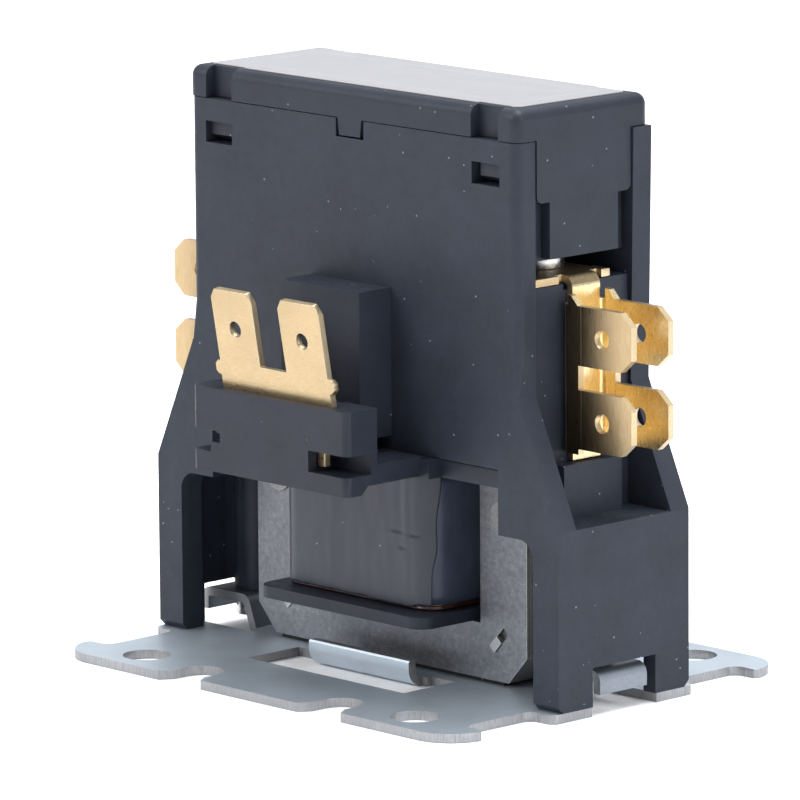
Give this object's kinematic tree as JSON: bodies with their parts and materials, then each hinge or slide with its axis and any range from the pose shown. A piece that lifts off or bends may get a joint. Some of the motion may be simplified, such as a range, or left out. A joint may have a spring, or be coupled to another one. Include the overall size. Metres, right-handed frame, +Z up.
{
  "type": "open-frame power relay with double-break contacts",
  "caption": "Open-frame industrial control relay: tall slim plastic housing over an exposed coil and laminated core, side and end quick-connect tabs, on a steel mounting plate.",
  "frame": {"origin": "centre of the mounting plate's underside, which is the bottom centre of the part", "axes": "+X along the long side through the main terminal tabs, +Y across the slim body towards the rear coil tabs, +Z up"},
  "size_m": [0.0712, 0.0506, 0.0645],
  "materials": {
    "housing_plastic": "fine moulded grain",
    "cover_plastic": "fine moulded grain",
    "label_film": "satin film",
    "zinc_plated_steel": "zinc plated, sheared edges",
    "screw_steel": "zinc plated",
    "pad_rubber": "matte",
    "laminated_iron": "stacked sheet, mottled",
    "rivet_steel": "satin",
    "copper": "plain copper",
    "bobbin_plastic": "matte",
    "enamelled_copper": "enamelled wire",
    "coil_tape_film": "glossy, creased",
    "coil_tab_brass": "tin-flashed brass",
    "terminal_brass": "brushed",
    "contact_silver": "satin silver",
    "carrier_plastic": "matte",
    "spring_steel": "drawn wire"
  },
  "bodies": {
    "frame": {"housing": "housing_plastic", "cover": "cover_plastic", "label": "label_film", "base_plate": "zinc_plated_steel", "base_screws": "screw_steel", "core_pad": "pad_rubber", "fixed_core": "laminated_iron", "core_rivets": "rivet_steel", "shading_rings": "copper", "bobbin": "bobbin_plastic", "coil_winding": "enamelled_copper", "coil_tape": "coil_tape_film", "coil_terminal_front": "coil_tab_brass", "coil_terminal_rear": "coil_tab_brass", "coil_leads": "enamelled_copper", "line_terminal": "terminal_brass", "load_terminal": "terminal_brass", "line_contact": "contact_silver", "load_contact": "contact_silver", "return_springs": "spring_steel"},
    "carrier": {"contact_carrier": "carrier_plastic", "armature": "laminated_iron", "armature_rivets": "rivet_steel", "armature_pin": "rivet_steel", "contact_spring": "spring_steel"},
    "bridge": {"contact_bridge": "copper", "bridge_contacts": "contact_silver"}
  },
  "joints": [
    {"name": "carrier_slide", "type": "slide", "parent": "frame", "child": "carrier", "axis": [0, 0, -1], "range_m": [0, 0.00405], "stiffness_N_per_m": 600, "springref_m": -0.003, "deforming": ["return_springs"]},
    {"name": "bridge_slide", "type": "slide", "parent": "carrier", "child": "bridge", "axis": [0, 0, 1], "range_m": [0, 0.00107], "stiffness_N_per_m": 400, "deforming": ["contact_spring"]}
  ],
  "couplings": [
    {"joint": "bridge_slide", "follows": "carrier_slide", "ratio": 0.2642}
  ]
}
